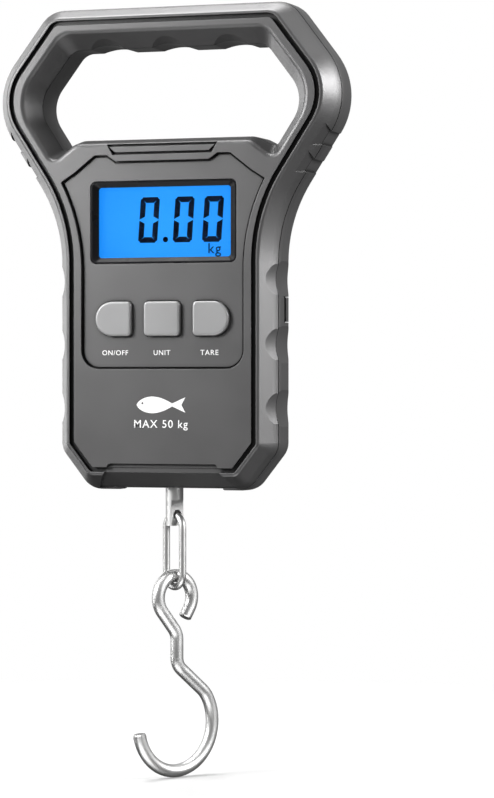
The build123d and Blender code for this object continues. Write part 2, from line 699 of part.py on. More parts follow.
# ---- Load path: anchor plate, load cell, stud, link, hook
with BuildPart() as load_cell_plate:
    with BuildSketch(Plane.XY.offset(PLATE_Z[0])):
        with Locations((0, 0.5)):
            RectangleRounded(47.0, 11.0, 1.5)
        with Locations(*[(x, 0) for x in CELL_SCREWS_X]):
            Circle(CELL_SCREW_RADIUS + 0.1, mode=Mode.SUBTRACT)
    extrude(amount=PLATE_Z[1] - PLATE_Z[0])
save(load_cell_plate, "load_cell_plate")

with BuildPart() as load_cell:
    with BuildSketch(Plane.XY.offset(CELL_BOTTOM_Z)):
        RectangleRounded(*CELL, 0.8)
    extrude(amount=CELL_TOP_Z - CELL_BOTTOM_Z)
    with BuildSketch(front(0)) as cuts:
        with Locations((0, (ARM_TOP_Z + POCKET_TOP_Z) / 2)):
            RectangleRounded(14.0, POCKET_TOP_Z - ARM_TOP_Z, 1.0)
        with Locations((-FLEXURE_X, FLEXURE_Z), (FLEXURE_X, FLEXURE_Z)):
            Circle(1.9)
        with Locations((0, FLEXURE_Z)):
            Rectangle(2 * FLEXURE_X, SLOT)
        with Locations((-FLEXURE_X, FLEXURE_Z - 3.7)):
            Rectangle(8.0, SLOT)
        with Locations((FLEXURE_X + 0.5, FLEXURE_Z - 10.5)):
            Rectangle(7.0, SLOT)
    extrude(cuts.sketch, amount=CELL[1], both=True, mode=Mode.SUBTRACT)
    with BuildSketch(Plane.XY.offset(CELL_BOTTOM_Z)) as bush_hole:
        Circle(BUSH_RADIUS)
    extrude(bush_hole.sketch, amount=ARM_TOP_Z - CELL_BOTTOM_Z, mode=Mode.SUBTRACT)
    with BuildSketch(Plane.XY.offset(CELL_TOP_Z)) as threads:
        with Locations(*[(x, 0) for x in CELL_SCREWS_X]):
            Circle(CELL_SCREW_RADIUS)
    extrude(threads.sketch, amount=-3.0, mode=Mode.SUBTRACT)
save(load_cell, "load_cell")

with BuildPart() as strain_gauges:
    gauge_x = (CELL[0] + GAUGE[0]) / 2
    with Locations(*[(side * gauge_x, 0, FLEXURE_Z + offset) for side in (1, -1) for offset in (2, -2)]):
        Box(*GAUGE)
save(strain_gauges, "strain_gauges")

with BuildPart() as load_cell_screws:
    for x in CELL_SCREWS_X:
        with BuildSketch(Plane.XY.offset(PLATE_Z[1])) as cap_head:
            with Locations((x, 0)):
                Circle(CELL_SCREW_HEAD[0])
                RegularPolygon(1.6, 6, mode=Mode.SUBTRACT)
        extrude(cap_head.sketch, amount=CELL_SCREW_HEAD[1])
        with BuildSketch(Plane.XY.offset(PLATE_Z[1] + 0.8)) as shaft:
            with Locations((x, 0)):
                Circle(CELL_SCREW_RADIUS)
        extrude(shaft.sketch, amount=PLATE_Z[0] - PLATE_Z[1] - 3.6)
save(load_cell_screws, "load_cell_screws")

with BuildPart() as load_cell_leads:
    with BuildLine() as lead_route:
        FilletPolyline(*LEAD_ROUTE, radius=2.0)
    with BuildSketch(Plane(origin=LEAD_ROUTE[0], z_dir=(0, -1, 0))):
        Circle(LEAD_RADIUS)
    sweep(path=lead_route.line)
save(load_cell_leads, "load_cell_leads")

with BuildPart() as stud_bush:
    with BuildSketch(Plane.XY.offset(CELL_BOTTOM_Z)) as tube:
        Circle(BUSH_RADIUS)
        Circle(ROD / 2 + BUSH_FIT, mode=Mode.SUBTRACT)
    extrude(tube.sketch, amount=ARM_TOP_Z - CELL_BOTTOM_Z)
save(stud_bush, "stud_bush")

with BuildPart() as stud_washer:
    with BuildSketch(Plane.XY.offset(ARM_TOP_Z)):
        Circle(WASHER[0])
        Circle(ROD / 2 + 0.1, mode=Mode.SUBTRACT)
    extrude(amount=WASHER[1])
save(stud_washer, "stud_washer")

with BuildPart() as stud_nut:
    with BuildSketch(Plane.XY.offset(NUT_Z[0])):
        RegularPolygon(NUT_APOTHEM, 6, major_radius=False)
        Circle(ROD / 2, mode=Mode.SUBTRACT)
    extrude(amount=NUT_Z[1] - NUT_Z[0])
save(stud_nut, "stud_nut")

with BuildPart() as hook_stud:
    with BuildSketch(Plane.XY.offset(STUD_END_Z)):
        Circle(ROD / 2)
    extrude(amount=STUD_TOP_Z - STUD_END_Z)
    with BuildSketch(Plane.XY.offset(SHOULDER_Z)) as flats:
        with PolarLocations(TANG / 2 + ROD / 2, 2, start_angle=HOOK_AZIMUTH - 90):
            Rectangle(ROD, 2 * ROD)
    extrude(flats.sketch, amount=STUD_END_Z - SHOULDER_Z - 1, mode=Mode.SUBTRACT)
    with BuildSketch(Plane(origin=(0, 0, EYE_Z), z_dir=LINK_PLANE.x_dir)) as eye:
        Circle(EYE / 2)
    extrude(eye.sketch, amount=ROD, both=True, mode=Mode.SUBTRACT)
    chamfer(hook_stud.edges().filter_by(GeomType.CIRCLE).sort_by(Axis.Z)[-1], 0.4)
save(hook_stud, "hook_stud")

with BuildPart() as chain_link:
    with BuildLine(LINK_PLANE) as link_route:
        half = LINK_HALF_WIDTH
        top_z, low_z = EYE_Z - half, LINK_BOTTOM_Z + half
        Line((half, low_z), (half, top_z))
        ThreePointArc((half, top_z), (0, EYE_Z), (-half, top_z))
        Line((-half, top_z), (-half, low_z))
        ThreePointArc((-half, low_z), (0, LINK_BOTTOM_Z), (half, low_z))
    link_start = LINK_PLANE.from_local_coords(Vector(half, low_z, 0))
    with BuildSketch(Plane(origin=link_start, z_dir=(0, 0, 1))):
        Circle(LINK_WIRE / 2)
    sweep(path=link_route.line)
save(chain_link, "chain_link")

with BuildPart() as hook:
    with BuildLine(HOOK_PLANE) as hook_route:
        bowl = CenterArc(BOWL_CENTRE, BOWL_RADIUS, *BOWL_SWEEP)
        throat_arc = JernArc(bowl @ 1, bowl % 1, *THROAT_BEND)
        rise = Line(throat_arc @ 1, throat_arc @ 1 + throat_arc % 1 * RISE)
        lower_bend = JernArc(rise @ 1, rise % 1, *LOWER_BEND)
        shank = Line(lower_bend @ 1, lower_bend @ 1 + lower_bend % 1 * SHANK)
        upper_bend = JernArc(shank @ 1, shank % 1, *UPPER_BEND)
        neck = Line(upper_bend @ 1, upper_bend @ 1 + upper_bend % 1 * NECK)
        eye_arc = JernArc(neck @ 1, neck % 1, *EYE_BEND)
        Line(eye_arc @ 1, eye_arc @ 1 + eye_arc % 1 * TAIL)
    with BuildSketch(Plane(origin=bowl @ 0, z_dir=bowl % 0)):
        Circle(HOOK_WIRE / 2)
    sweep(path=hook_route.line)
    chamfer(hook.faces().filter_by(GeomType.PLANE).edges(), END_CHAMFER)
save(hook, "hook")

# ---- Batteries, contacts and door
for number, z in enumerate(AAA_Z, start=1):
    towards = 1 if number == 1 else -1
    can_start = -towards * (BAY[0] / 2 - SPRING_ROOM)
    with BuildPart() as battery:
        with BuildSketch(Plane(origin=(can_start, AAA_Y, z), z_dir=(towards, 0, 0))) as can:
            Circle(AAA_RADIUS)
        extrude(can.sketch, amount=AAA_BODY)
        fillet(battery.edges().filter_by(GeomType.CIRCLE), 0.5)
        with BuildSketch(Plane(origin=(can_start, AAA_Y, z), z_dir=(towards, 0, 0))) as nub:
            Circle(1.9)
        extrude(nub.sketch, amount=AAA_BODY + AAA_NUB)
    save(battery, f"battery_{number}")

with BuildPart() as battery_springs:
    for side, z in zip((-1, 1), AAA_Z):
        wall_x = side * BAY[0] / 2
        with BuildSketch(Plane(origin=(wall_x, AAA_Y, z), z_dir=(-side, 0, 0))) as spring_plate:
            RectangleRounded(*CONTACT)
        extrude(spring_plate.sketch, amount=CONTACT_THICKNESS)
        for turn in range(4):
            ring_x = wall_x - side * (CONTACT_THICKNESS + SPRING_WIRE * 0.45 + turn * SPRING_PITCH)
            with Locations(Plane(origin=(ring_x, AAA_Y, z), z_dir=(side, 0, 0))):
                Torus(SPRING_RADIUS - SPRING_STEP * turn, SPRING_WIRE / 2)
        with Locations((wall_x - side * SPRING_TIE[0] * 0.6, AAA_Y + SPRING_RADIUS - 0.2, z)):
            Box(*SPRING_TIE)
save(battery_springs, "battery_springs")

with BuildPart() as battery_plates:
    for side, z in zip((1, -1), AAA_Z):
        with BuildSketch(Plane(origin=(side * BAY[0] / 2, AAA_Y, z), z_dir=(-side, 0, 0))) as contact:
            RectangleRounded(*CONTACT)
        extrude(contact.sketch, amount=CONTACT_THICKNESS)
        with Locations((side * (BAY[0] / 2 - 0.7), AAA_Y, z)):
            Cylinder(1.6, 0.6, rotation=(0, 90, 0))
save(battery_plates, "battery_plates")

with BuildPart() as battery_door:
    with BuildSketch(front(DOOR_PLATE_Y)):
        with Locations((0, (DOOR_LOW_Z + DOOR_EXIT_Z) / 2)):
            Rectangle(2 * DOOR_HALF, DOOR_EXIT_Z - DOOR_LOW_Z)
    extrude(amount=-4)
    with BuildSketch(front(DOOR_PLATE_Y)):
        with Locations((0, (DOOR_LOW_Z + TONGUE_TOP_Z) / 2)):
            Rectangle(2 * (DOOR_HALF + TONGUE), TONGUE_TOP_Z - DOOR_LOW_Z)
    extrude(amount=-TONGUE_THICKNESS)
    add(hump(0), mode=Mode.INTERSECT)
    with BuildSketch(front(HUMP_Y)):
        with GridLocations(0, THUMB_RIB_PITCH, 1, 5):
            with Locations((0, THUMB_RIBS_Z)):
                RectangleRounded(*THUMB_RIB)
    extrude(amount=0.5, mode=Mode.SUBTRACT)
save(battery_door, "battery_door")

# ---- Measuring tape
with BuildPart() as tape_case:
    with BuildSketch(front(TAPE_Y[0] - CASE_ROOM - CASE_WALL)) as case_disc:
        with Locations((TAPE_X, TAPE_Z)):
            Circle(TAPE_CASE)
    extrude(case_disc.sketch, amount=-(INNER_BACK_Y - TAPE_Y[0] + CASE_ROOM + CASE_WALL))
    with BuildSketch(front(TAPE_Y[0] - CASE_ROOM)) as case_room:
        with Locations((TAPE_X, TAPE_Z)):
            Circle(TAPE_CASE - CASE_WALL)
    extrude(case_room.sketch, amount=-20, mode=Mode.SUBTRACT)
    with BuildSketch(front(TAPE_Y[0] - CASE_ROOM)) as case_slot:
        with Locations((TAPE_X + TAPE_CASE, TAPE_Z + TAPE_COIL)):
            Rectangle(TAPE_CASE * 2, 2.0)
    extrude(case_slot.sketch, amount=-20, mode=Mode.SUBTRACT)
    with BuildSketch(front(TAPE_Y[0] - CASE_ROOM)) as arbor:
        with Locations((TAPE_X, TAPE_Z)):
            Circle(ARBOR_RADIUS)
    extrude(arbor.sketch, amount=-(INNER_BACK_Y - TAPE_Y[0] + CASE_ROOM))
save(tape_case, "tape_case")

with BuildPart() as tape_spool:
    with BuildSketch(front(TAPE_Y[0])) as hub:
        with Locations((TAPE_X, TAPE_Z)):
            Circle(TAPE_HUB)
            Circle(TAPE_HUB - 0.7, mode=Mode.SUBTRACT)
    extrude(hub.sketch, amount=TAPE_Y[0] - TAPE_Y[1])
    with BuildSketch(front(TAPE_Y[0])) as rear_flange:
        with Locations((TAPE_X, TAPE_Z)):
            Circle(TAPE_CASE - CASE_WALL - 0.4)
            Circle(ARBOR_RADIUS + 0.4, mode=Mode.SUBTRACT)
    extrude(rear_flange.sketch, amount=0.3)
save(tape_spool, "tape_spool")

with BuildPart() as tape_coil:
    with BuildSketch(front(TAPE_Y[0])):
        with Locations((TAPE_X, TAPE_Z)):
            Circle(TAPE_COIL)
            Circle(TAPE_HUB, mode=Mode.SUBTRACT)
    extrude(amount=TAPE_Y[0] - TAPE_Y[1])
save(tape_coil, "tape_coil")

with BuildPart() as tape_spring:
    with BuildSketch(front(TAPE_Y[0] + 0.4)):
        with Locations((TAPE_X, TAPE_Z)):
            Circle(3.1)
            Circle(ARBOR_RADIUS, mode=Mode.SUBTRACT)
    extrude(amount=TAPE_Y[0] - TAPE_Y[1] + 0.8)
save(tape_spring, "tape_spring")

with BuildPart() as tape_lead:
    with BuildSketch(front(TAPE_Y[0])):
        with Locations(((TAPE_X + TAB_INNER_X + 0.4) / 2 + 1, TAPE_Z + TAPE_COIL + BLADE / 2)):
            Rectangle(TAB_INNER_X - TAPE_X + 0.4 - 2, BLADE)
    extrude(amount=TAPE_Y[0] - TAPE_Y[1])
save(tape_lead, "tape_lead")

with BuildPart() as tape_tab:
    with BuildSketch(front(TAB_Y[0])):
        with Locations((TAB_INNER_X + 0.4 + 5, TAB_MIDDLE_Z)):
            Rectangle(10, TAB_HEIGHT)
    extrude(amount=TAB_Y[0] - TAB_Y[1])
    add(casing(0), mode=Mode.INTERSECT)
save(tape_tab, "tape_tab")

# ---- Housing screws
with BuildPart() as housing_screws:
    with BuildSketch(front(HEAD_SEAT_Y)) as heads:
        with Locations(*both_sides(HOUSING_SCREWS)):
            Circle(HEAD_RADIUS)
    extrude(heads.sketch, amount=-HEAD_HEIGHT)
    with BuildSketch(front(HEAD_SEAT_Y)) as shanks:
        with Locations(*both_sides(HOUSING_SCREWS)):
            Circle(SCREW_RADIUS)
    extrude(shanks.sketch, amount=HEAD_SEAT_Y - INNER_FACE_Y - 0.8)
    with BuildSketch(front(HEAD_SEAT_Y + HEAD_HEIGHT)) as slots:
        with Locations(*both_sides(HOUSING_SCREWS)):
            Rectangle(*CROSS_SLOT)
            Rectangle(*CROSS_SLOT[::-1])
    extrude(slots.sketch, amount=0.9, mode=Mode.SUBTRACT)
save(housing_screws, "housing_screws")
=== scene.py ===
import json
import math

import bmesh
import bpy
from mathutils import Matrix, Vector


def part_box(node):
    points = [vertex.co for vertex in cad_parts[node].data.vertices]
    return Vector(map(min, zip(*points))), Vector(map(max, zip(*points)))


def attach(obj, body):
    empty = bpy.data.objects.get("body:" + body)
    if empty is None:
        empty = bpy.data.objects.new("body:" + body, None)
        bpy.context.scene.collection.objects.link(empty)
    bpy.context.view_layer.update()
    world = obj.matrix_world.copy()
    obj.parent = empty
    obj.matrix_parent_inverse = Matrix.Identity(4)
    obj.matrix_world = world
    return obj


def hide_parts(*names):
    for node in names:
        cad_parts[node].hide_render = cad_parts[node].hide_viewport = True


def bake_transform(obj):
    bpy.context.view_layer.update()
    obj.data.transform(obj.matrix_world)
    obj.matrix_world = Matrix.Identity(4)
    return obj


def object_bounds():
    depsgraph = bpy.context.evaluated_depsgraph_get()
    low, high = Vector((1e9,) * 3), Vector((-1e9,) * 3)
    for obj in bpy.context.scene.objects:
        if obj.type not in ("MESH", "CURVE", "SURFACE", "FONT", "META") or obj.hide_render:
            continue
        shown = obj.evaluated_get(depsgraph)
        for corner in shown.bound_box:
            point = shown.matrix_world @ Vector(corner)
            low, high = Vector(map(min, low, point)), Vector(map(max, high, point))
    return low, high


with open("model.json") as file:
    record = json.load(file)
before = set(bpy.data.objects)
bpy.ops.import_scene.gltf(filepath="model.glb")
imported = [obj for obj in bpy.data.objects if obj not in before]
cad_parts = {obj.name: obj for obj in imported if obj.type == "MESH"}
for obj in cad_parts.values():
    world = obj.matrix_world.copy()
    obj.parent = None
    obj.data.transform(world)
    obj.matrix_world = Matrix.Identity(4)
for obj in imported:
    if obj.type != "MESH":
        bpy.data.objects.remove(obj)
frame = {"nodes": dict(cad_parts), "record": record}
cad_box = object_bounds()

# Looks of the digital fish scale, in metres, around its CAD frame. +Z up, -Y towards the user.

MM = 0.001
SCENE = bpy.context.scene

# ---- Camera: tilt and turn in degrees, lens and sensor in millimetres
CAMERA_PLACE = (0.31305, -0.83474, -0.09700)
CAMERA_TILT = 89.682
CAMERA_TURN = 19.2
CAMERA_LENS = 138.05
CAMERA_SENSOR = 36

# ---- Printing
FACE_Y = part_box("front_shell")[0].y
PANEL_Y = FACE_Y + 1.0 * MM
DIGITS_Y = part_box("lcd_panel")[0].y
INK = 0.04 * MM
LETTER_BOLDNESS = 0.004
LETTER_SPACING = 1.15
LETTER_SMOOTHNESS = 6
LABEL_Z = -88.6 * MM
# Name, words, centre x, width
LABELS = (
    ("power_label", "ON/OFF", -14.75 * MM, 8.0 * MM),
    ("unit_label", "UNIT", -0.3 * MM, 5.1 * MM),
    ("tare_label", "TARE", 14.3 * MM, 5.5 * MM),
)
# Name, words, centre x, centre z, width
CAPACITY = ("capacity_label", "MAX 50 kg", -0.3 * MM, -109.2 * MM, 16.5 * MM)
KILOGRAMS = ("kilogram_sign", "kg", 14.9 * MM, -58.7 * MM, 3.9 * MM)

# ---- Fish mark. Its outline and eye are shares of its length and height, with the nose at -0.5
FISH_CENTRE = (-0.2 * MM, -103.6 * MM)
FISH_LENGTH = 15.0 * MM
FISH_HEIGHT = 4.8 * MM
FISH_BODY = 0.76
FISH_FULLNESS = 0.8
FISH_STEPS = 24
TAIL_ROOT = (-0.02, 0.10)
TAIL_TIP = (0.5, 0.46)
TAIL_FORK = (0.42, 0.0)
EYE_CENTRE = (-0.38, 0.10)
EYE_SIZE = (0.022, 0.07)
EYE_STEPS = 12

# ---- Tape
TAPE_COLOR = (0.80, 0.68, 0.12)
TAPE_MARK_COLOR = (0.02, 0.02, 0.02)
TAPE_MARK_SPACING = 1.0 * MM
TAPE_MARK_HALF_WIDTH = 0.07 * MM
TAPE_MARK_END_Y = 3.4 * MM
TAPE_BOW = 0.12 * MM
TAPE_HALF_THICK = 0.09 * MM
TAPE_STEPS = 28
TAPE_CROSS_STEPS = 6

# ---- Batteries: each has a band at its plus end
SLEEVE_COLOR = (0.035, 0.036, 0.04)
BAND_COLOR = (0.55, 0.27, 0.10)
BAND_X = 12 * MM
BAND_BLUR = 0.1 * MM

# ---- Floor: a pale disc that fades out towards its edge
FLOOR_RADIUS = 0.42
FLOOR_SIDES = 96
FLOOR_FADE = (0.05, 0.30)
FLOOR_GAP = 0.1 * MM
FLOOR_TONE = 0.30
FLOOR_GLOW = 0.25

# ---- Light
MIDDLE = (0, 0, -0.06)
# Name, place, aim, width and height, watts
LIGHTS = (
    ("top_light", (-0.15, 0.05, 0.75), MIDDLE, (0.7, 0.5), 18),
    ("right_light", (0.90, 0.05, 0.26), (0, 0, -0.02), (0.30, 0.45), 14),
    ("front_left_light", (-0.86, -0.74, 0.34), (-0.02, -0.01, -0.02), (0.22, 0.35), 6),
    ("near_left_light", (-0.20, -0.22, 0.02), (-0.03, -0.01, -0.05), (0.10, 0.10), 0.66),
    ("back_left_light", (-0.75, 0.50, 0.0), (0, 0, -0.04), (0.3, 0.8), 3),
    ("high_left_light", (-0.75, -0.45, 0.45), MIDDLE, (0.4, 0.4), 3),
    ("left_strip_light", (-0.70, -0.25, -0.15), (0, 0, -0.15), (0.07, 0.6), 1.5),
    ("right_strip_light", (0.80, -0.30, -0.25), (0, 0, -0.19), (0.10, 0.4), 0.5),
    ("bounce_light", (0.05, -0.35, -0.62), (0, 0, -0.12), (0.7, 0.4), 3.5),
)
# Strength of the surroundings in front and behind, and the share of it that is left below
WORLD_FRONT = 0.30
WORLD_BACK = 0.22
WORLD_BELOW = 0.60
WORLD_FRONT_TO_BACK = (-0.9, 0.75)
WORLD_BELOW_TO_LEVEL = (-0.5, 0.1)

# ---- Sockets of a colour Mix node
MIX_FACTOR, MIX_FIRST, MIX_SECOND, MIX_RESULT = 0, 6, 7, 2
# The span of a noise's factor that most of its surface lies in
NOISE_SPAN = (0.3, 0.7)


# ---- Material helpers
def new_material(name, color, roughness, metallic=0.0):
    """A Principled material with its uniform numbers set on the shader's own sockets."""
    material = bpy.data.materials.new(name)
    material.use_nodes = True
    shader = material.node_tree.nodes["Principled BSDF"]
    shader.inputs["Base Color"].default_value = (*color, 1)
    shader.inputs["Roughness"].default_value = roughness
    shader.inputs["Metallic"].default_value = metallic
    return material, shader


def node_of(owner, kind, **settings):
    """A new node in a material or world, with its properties set."""
    node = owner.node_tree.nodes.new(kind)
    for name, value in settings.items():
        setattr(node, name, value)
    return node


def join(owner, output, socket):
    """One link."""
    owner.node_tree.links.new(output, socket)


def object_place(material):
    """Place in object space, where one unit is a metre."""
    return node_of(material, "ShaderNodeTexCoord").outputs["Object"]


def split(owner, place):
    """A place's X, Y and Z."""
    parts = node_of(owner, "ShaderNodeSeparateXYZ")
    join(owner, place, parts.inputs["Vector"])
    return parts.outputs


def calculate(owner, operation, first, second):
    """The result of one operation on an output and either a number or another output."""
    step = node_of(owner, "ShaderNodeMath", operation=operation)
    join(owner, first, step.inputs[0])
    if isinstance(second, float):
        step.inputs[1].default_value = second
    else:
        join(owner, second, step.inputs[1])
    return step.outputs["Value"]


def noise(material, scale, detail=3.0):
    """Noise in object space, as a factor."""
    texture = node_of(material, "ShaderNodeTexNoise")
    texture.inputs["Scale"].default_value = scale
    texture.inputs["Detail"].default_value = detail
    join(material, object_place(material), texture.inputs["Vector"])
    return texture.outputs["Fac"]


def spread(owner, factor, low, high, span=NOISE_SPAN):
    """A factor's span mapped to a range of values."""
    ranged = node_of(owner, "ShaderNodeMapRange")
    for name, value in zip(("From Min", "From Max", "To Min", "To Max"), (*span, low, high)):
        ranged.inputs[name].default_value = value
    join(owner, factor, ranged.inputs["Value"])
    return ranged.outputs["Result"]


def blend_colors(material, factor, first, second):
    """Colour between two, by a factor."""
    mix = node_of(material, "ShaderNodeMix", data_type="RGBA")
    mix.inputs[MIX_FIRST].default_value = (*first, 1)
    mix.inputs[MIX_SECOND].default_value = (*second, 1)
    join(material, factor, mix.inputs[MIX_FACTOR])
    return mix.outputs[MIX_RESULT]


def mix_shaders(owner, factor, first, second):
    """One shader between two, by a factor."""
    mix = node_of(owner, "ShaderNodeMixShader")
    for output, socket in zip((factor, first, second), mix.inputs):
        join(owner, output, socket)
    return mix.outputs[0]


def grain(material, shader, scale, strength, depth, edge=0.0):
    """Fine surface grain as bump, over edges softened by a small radius."""
    bump = node_of(material, "ShaderNodeBump")
    bump.inputs["Strength"].default_value = strength
    bump.inputs["Distance"].default_value = depth
    join(material, noise(material, scale, detail=2.0), bump.inputs["Height"])
    if edge:
        soft = node_of(material, "ShaderNodeBevel", samples=6)
        soft.inputs["Radius"].default_value = edge
        join(material, soft.outputs["Normal"], bump.inputs["Normal"])
    join(material, bump.outputs["Normal"], shader.inputs["Normal"])


def vary(material, shader, scale, first, second, rough):
    """Slow changes of colour, and of roughness between two values, over the surface."""
    drift = noise(material, scale)
    join(material, blend_colors(material, drift, first, second), shader.inputs["Base Color"])
    join(material, spread(material, drift, *rough), shader.inputs["Roughness"])


def paint_crevice_shade(material, shader, reach, darkest):
    """Painted shade in grooves and gaps: ambient occlusion darkens the colour that the shader has."""
    openness = node_of(material, "ShaderNodeAmbientOcclusion", samples=8)
    openness.inputs["Distance"].default_value = reach
    level = spread(material, openness.outputs["AO"], darkest, 1.0, span=(0.45, 0.9))
    mix = node_of(material, "ShaderNodeMix", data_type="RGBA", blend_type="MULTIPLY")
    mix.inputs[MIX_FACTOR].default_value = 1.0
    color = shader.inputs["Base Color"]
    join(material, color.links[0].from_socket, mix.inputs[MIX_FIRST])
    join(material, level, mix.inputs[MIX_SECOND])
    join(material, mix.outputs[MIX_RESULT], color)


# ---- Materials
def housing_plastic():
    """Satin gunmetal grey, moulded with a fine grain."""
    material, shader = new_material("housing", (0.1, 0.1, 0.1), 0.42, 0.75)
    vary(material, shader, 60, (0.094, 0.093, 0.094), (0.109, 0.108, 0.109), rough=(0.42, 0.48))
    # Painted shade: the colour is darkened in grooves and gaps, where less light reaches.
    paint_crevice_shade(material, shader, reach=1.8 * MM, darkest=0.12)
    grain(material, shader, 5200, strength=0.45, depth=0.03 * MM, edge=0.22 * MM)
    return material


def button_plastic():
    """Light grey, with a weaker grain."""
    material, shader = new_material("button_cap", (0.4, 0.4, 0.4), 0.42, 0.35)
    vary(material, shader, 90, (0.25, 0.25, 0.252), (0.28, 0.28, 0.282), rough=(0.38, 0.44))
    grain(material, shader, 5200, strength=0.25, depth=0.02 * MM, edge=0.3 * MM)
    return material


def bezel_plastic():
    """Black, with little shine."""
    material, shader = new_material("bezel", (0.005, 0.005, 0.006), 0.3)
    shader.inputs["Specular IOR Level"].default_value = 0.12
    vary(material, shader, 120, (0.004, 0.004, 0.005), (0.008, 0.008, 0.009), rough=(0.25, 0.35))
    grain(material, shader, 3000, strength=0.05, depth=0.01 * MM, edge=0.2 * MM)
    return material


def window_glass():
    """Clear acrylic with a reflection weak enough to read the digits through."""
    material, shader = new_material("window", (0.98, 0.99, 1.0), 0.02)
    shader.inputs["Transmission Weight"].default_value = 1.0
    shader.inputs["IOR"].default_value = 1.12
    join(material, spread(material, noise(material, 200), 0.0, 0.004), shader.inputs["Roughness"])
    return material


def lcd_glow():
    """Blue back light, a little brighter in the middle of the display."""
    material, shader = new_material("lcd", (0.01, 0.05, 0.16), 0.3)
    low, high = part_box("lcd_panel")
    away = node_of(material, "ShaderNodeVectorMath", operation="DISTANCE")
    away.inputs[1].default_value = (Vector(low) + Vector(high)) / 2
    join(material, object_place(material), away.inputs[0])
    fade = spread(material, away.outputs["Value"], 0, 1, span=(2 * MM, 24 * MM))
    glow = blend_colors(material, fade, (0.020, 0.330, 1.0), (0.012, 0.27, 0.95))
    join(material, glow, shader.inputs["Emission Color"])
    shader.inputs["Emission Strength"].default_value = 0.97
    shader.inputs["Specular IOR Level"].default_value = 0.0
    return material


def digit_crystal():
    """Near black, with no shine."""
    material, shader = new_material("digits", (0.004, 0.008, 0.02), 0.35)
    shader.inputs["Specular IOR Level"].default_value = 0.0
    vary(material, shader, 400, (0.003, 0.006, 0.016), (0.006, 0.011, 0.028), rough=(0.3, 0.4))
    return material


def printed_ink():
    """White ink."""
    material, shader = new_material("ink", (0.8, 0.8, 0.8), 0.5)
    vary(material, shader, 900, (0.78, 0.78, 0.78), (0.88, 0.88, 0.88), rough=(0.45, 0.55))
    return material


def satin_steel():
    """Stainless wire, dark where it turns away."""
    material, shader = new_material("stainless", (0.8, 0.8, 0.8), 0.2, 1.0)
    shader.inputs["Specular Tint"].default_value = (0.22, 0.22, 0.22, 1)
    vary(material, shader, 160, (0.50, 0.50, 0.497), (0.57, 0.57, 0.567), rough=(0.40, 0.46))
    grain(material, shader, 900, strength=0.01, depth=0.01 * MM)
    return material


def plated_steel():
    """Zinc-plated screws, nuts, springs and plates."""
    material, shader = new_material("plated_steel", (0.5, 0.5, 0.48), 0.3, 1.0)
    vary(material, shader, 500, (0.46, 0.46, 0.43), (0.58, 0.58, 0.55), rough=(0.22, 0.36))
    grain(material, shader, 2500, strength=0.1, depth=0.02 * MM, edge=0.1 * MM)
    return material


def plain_finish(name, color, roughness, metallic=0.0, change=0.2, scale=350):
    """A fitting inside the housing: its colour and gloss drift a little, with a fine grain."""
    material, shader = new_material(name, color, roughness, metallic)
    darker = tuple(c * (1 - change) for c in color)
    vary(material, shader, scale, darker, color, rough=(roughness * 0.85, roughness * 1.15))
    grain(material, shader, 3000, strength=0.12, depth=0.02 * MM)
    return material


def battery_sleeve(name, plus_side):
    """A battery's sleeve with a band of another colour at its plus end."""
    material, shader = new_material(name, SLEEVE_COLOR, 0.32, 0.3)
    edge = plus_side * BAND_X
    along = split(material, object_place(material))["X"]
    step = spread(material, along, 0, 1, span=(edge, edge + plus_side * BAND_BLUR))
    join(material, blend_colors(material, step, SLEEVE_COLOR, BAND_COLOR), shader.inputs["Base Color"])
    grain(material, shader, 900, strength=0.05, depth=0.01 * MM)
    return material


def tape_print():
    """Pale yellow tape with a dark line every millimetre along X, over part of its width."""
    material, shader = new_material("tape_blade", (0.8, 0.68, 0.1), 0.45)
    place = split(material, object_place(material))
    away = calculate(material, "PINGPONG", place["X"], TAPE_MARK_SPACING / 2)
    line = calculate(material, "LESS_THAN", away, TAPE_MARK_HALF_WIDTH)
    short = calculate(material, "LESS_THAN", place["Y"], TAPE_MARK_END_Y)
    mark = calculate(material, "MULTIPLY", line, short)
    join(material, blend_colors(material, mark, TAPE_COLOR, TAPE_MARK_COLOR), shader.inputs["Base Color"])
    return material


MATERIALS = {
    "housing": housing_plastic(),
    "button_cap": button_plastic(),
    "bezel": bezel_plastic(),
    "window": window_glass(),
    "lcd": lcd_glow(),
    "digits": digit_crystal(),
    "stainless": satin_steel(),
    "plated_steel": plated_steel(),
    "light_guide": plain_finish("light_guide", (0.75, 0.8, 0.85), 0.4, change=0.1),
    "rubber_parts": plain_finish("rubber_parts", (0.30, 0.10, 0.08), 0.7),
    "circuit_board": plain_finish("circuit_board", (0.01, 0.10, 0.04), 0.35, scale=900),
    "black_parts": plain_finish("black_parts", (0.03, 0.03, 0.03), 0.5, change=0.4),
    "cell_aluminium": plain_finish("cell_aluminium", (0.66, 0.66, 0.68), 0.35, 1.0, change=0.12),
    "gauge_foil": plain_finish("gauge_foil", (0.45, 0.20, 0.04), 0.4),
    "lead_sleeve": plain_finish("lead_sleeve", (0.45, 0.04, 0.03), 0.45),
    "bush_brass": plain_finish("bush_brass", (0.72, 0.50, 0.20), 0.3, 1.0),
    "battery_can": plain_finish("battery_can", (0.06, 0.06, 0.07), 0.35),
    "tape_blade": tape_print(),
}
INK_MATERIAL = printed_ink()

for entry in frame["record"]["subparts"]:
    slots = frame["nodes"][entry["node"]].data.materials
    slots.clear()
    slots.append(MATERIALS[entry["material_slot"]])
for node, plus_side in (("battery_1", 1), ("battery_2", -1)):
    frame["nodes"][node].data.materials[0] = battery_sleeve(f"{node}_sleeve", plus_side)


